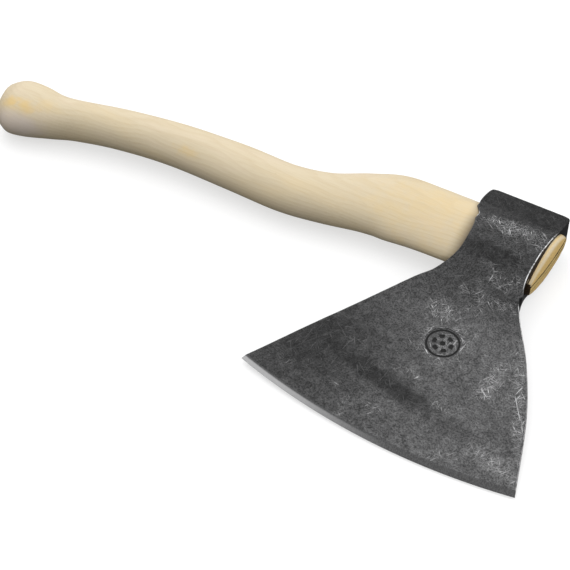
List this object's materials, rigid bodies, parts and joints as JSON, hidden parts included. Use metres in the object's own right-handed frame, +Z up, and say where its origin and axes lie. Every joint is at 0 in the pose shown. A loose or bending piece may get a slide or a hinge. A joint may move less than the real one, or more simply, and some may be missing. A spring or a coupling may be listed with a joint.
{
  "type": "hatchet",
  "caption": "Hatchet with a thin fan-shaped forged steel blade, wedged on a curved pale wooden handle with a knob, lying on its side.",
  "frame": {"origin": "centre of the bounding box's base, on the bench that the hatchet lies on", "axes": "+X along the handle from its knob to the top of the head, +Y towards the poll (the cutting edge is at -Y), +Z up from the bench, through the thickness of the head"},
  "size_m": [0.4486, 0.216, 0.0322],
  "materials": {
    "forged_steel": "dark forged steel, tumbled and finely scratched, with a bright ground cutting bevel",
    "handle_wood": "pale straight-grained hardwood, sanded, unvarnished",
    "wedge_wood": "end grain, raw"
  },
  "bodies": {
    "root": {"axe_head": "forged_steel", "handle": "handle_wood", "wedge": "wedge_wood"}
  },
  "joints": []
}
